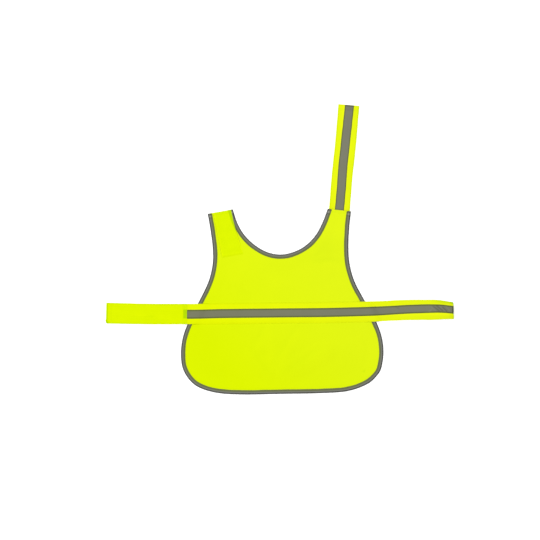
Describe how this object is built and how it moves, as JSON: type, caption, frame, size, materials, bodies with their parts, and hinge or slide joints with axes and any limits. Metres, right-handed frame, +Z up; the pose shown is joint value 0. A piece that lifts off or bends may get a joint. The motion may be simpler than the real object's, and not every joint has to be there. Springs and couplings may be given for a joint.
{
  "type": "dog safety vest",
  "caption": "High-visibility yellow dog vest laid flat: bib-shaped back panel with grey bound edges, belly belt and neck strap with reflective tape and hook-and-loop closures.",
  "frame": {"origin": "centre of the vest's footprint, on the surface that it lies on", "axes": "+X along the belly belt, +Y towards the neck strap's free end, +Z up from the surface"},
  "size_m": [0.6956, 0.58, 0.014],
  "materials": {
    "yellow_polyester": "fine knit, fluorescent yellow, slight sheen",
    "grey_binding": "grey reflective binding cloth, matte",
    "yellow_webbing": "smooth woven tape, fluorescent yellow",
    "reflective_tape": "grey retroreflective tape, fine grain",
    "loop_tape": "brushed loop pile, fluorescent yellow",
    "hook_tape": "stiff hook tape, fluorescent yellow"
  },
  "bodies": {
    "root": {"back_panel": "yellow_polyester", "neck_binding": "grey_binding", "edge_binding": "grey_binding", "belly_belt": "yellow_webbing", "belt_tape": "reflective_tape", "belt_loop_patch": "loop_tape", "belt_hook_patch": "hook_tape", "neck_strap": "yellow_webbing", "strap_tape": "reflective_tape", "strap_hook_patch": "hook_tape", "shoulder_loop_patch": "loop_tape"}
  },
  "joints": []
}
